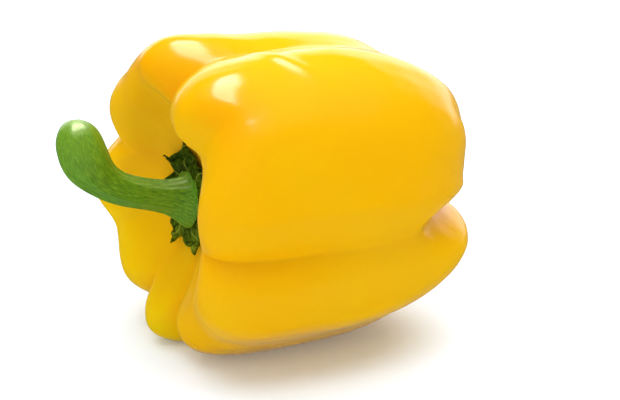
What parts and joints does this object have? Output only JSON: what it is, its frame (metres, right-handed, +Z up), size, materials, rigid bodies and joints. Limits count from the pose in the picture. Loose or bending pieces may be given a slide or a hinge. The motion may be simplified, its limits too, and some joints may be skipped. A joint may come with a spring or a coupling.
{
  "type": "bell pepper",
  "caption": "Yellow bell pepper lying on its side, with uneven rounded lobes, a deep stem cavity, a ragged green calyx and a thick curved stem with a club-shaped end.",
  "frame": {"origin": "on the floor, under the centre of the box round the whole pepper as it lies on its side", "axes": "+X along the pepper's own axis from its stem to its blossom end, +Z up, -Y towards the side that the picture shows"},
  "size_m": [0.1094, 0.087, 0.0831],
  "materials": {
    "yellow_skin": "waxy, glossy",
    "calyx_green": "crumpled, satin",
    "stem_green": "finely ribbed, satin"
  },
  "bodies": {
    "root": {"fruit": "yellow_skin", "calyx": "calyx_green", "stem": "stem_green"}
  },
  "joints": []
}
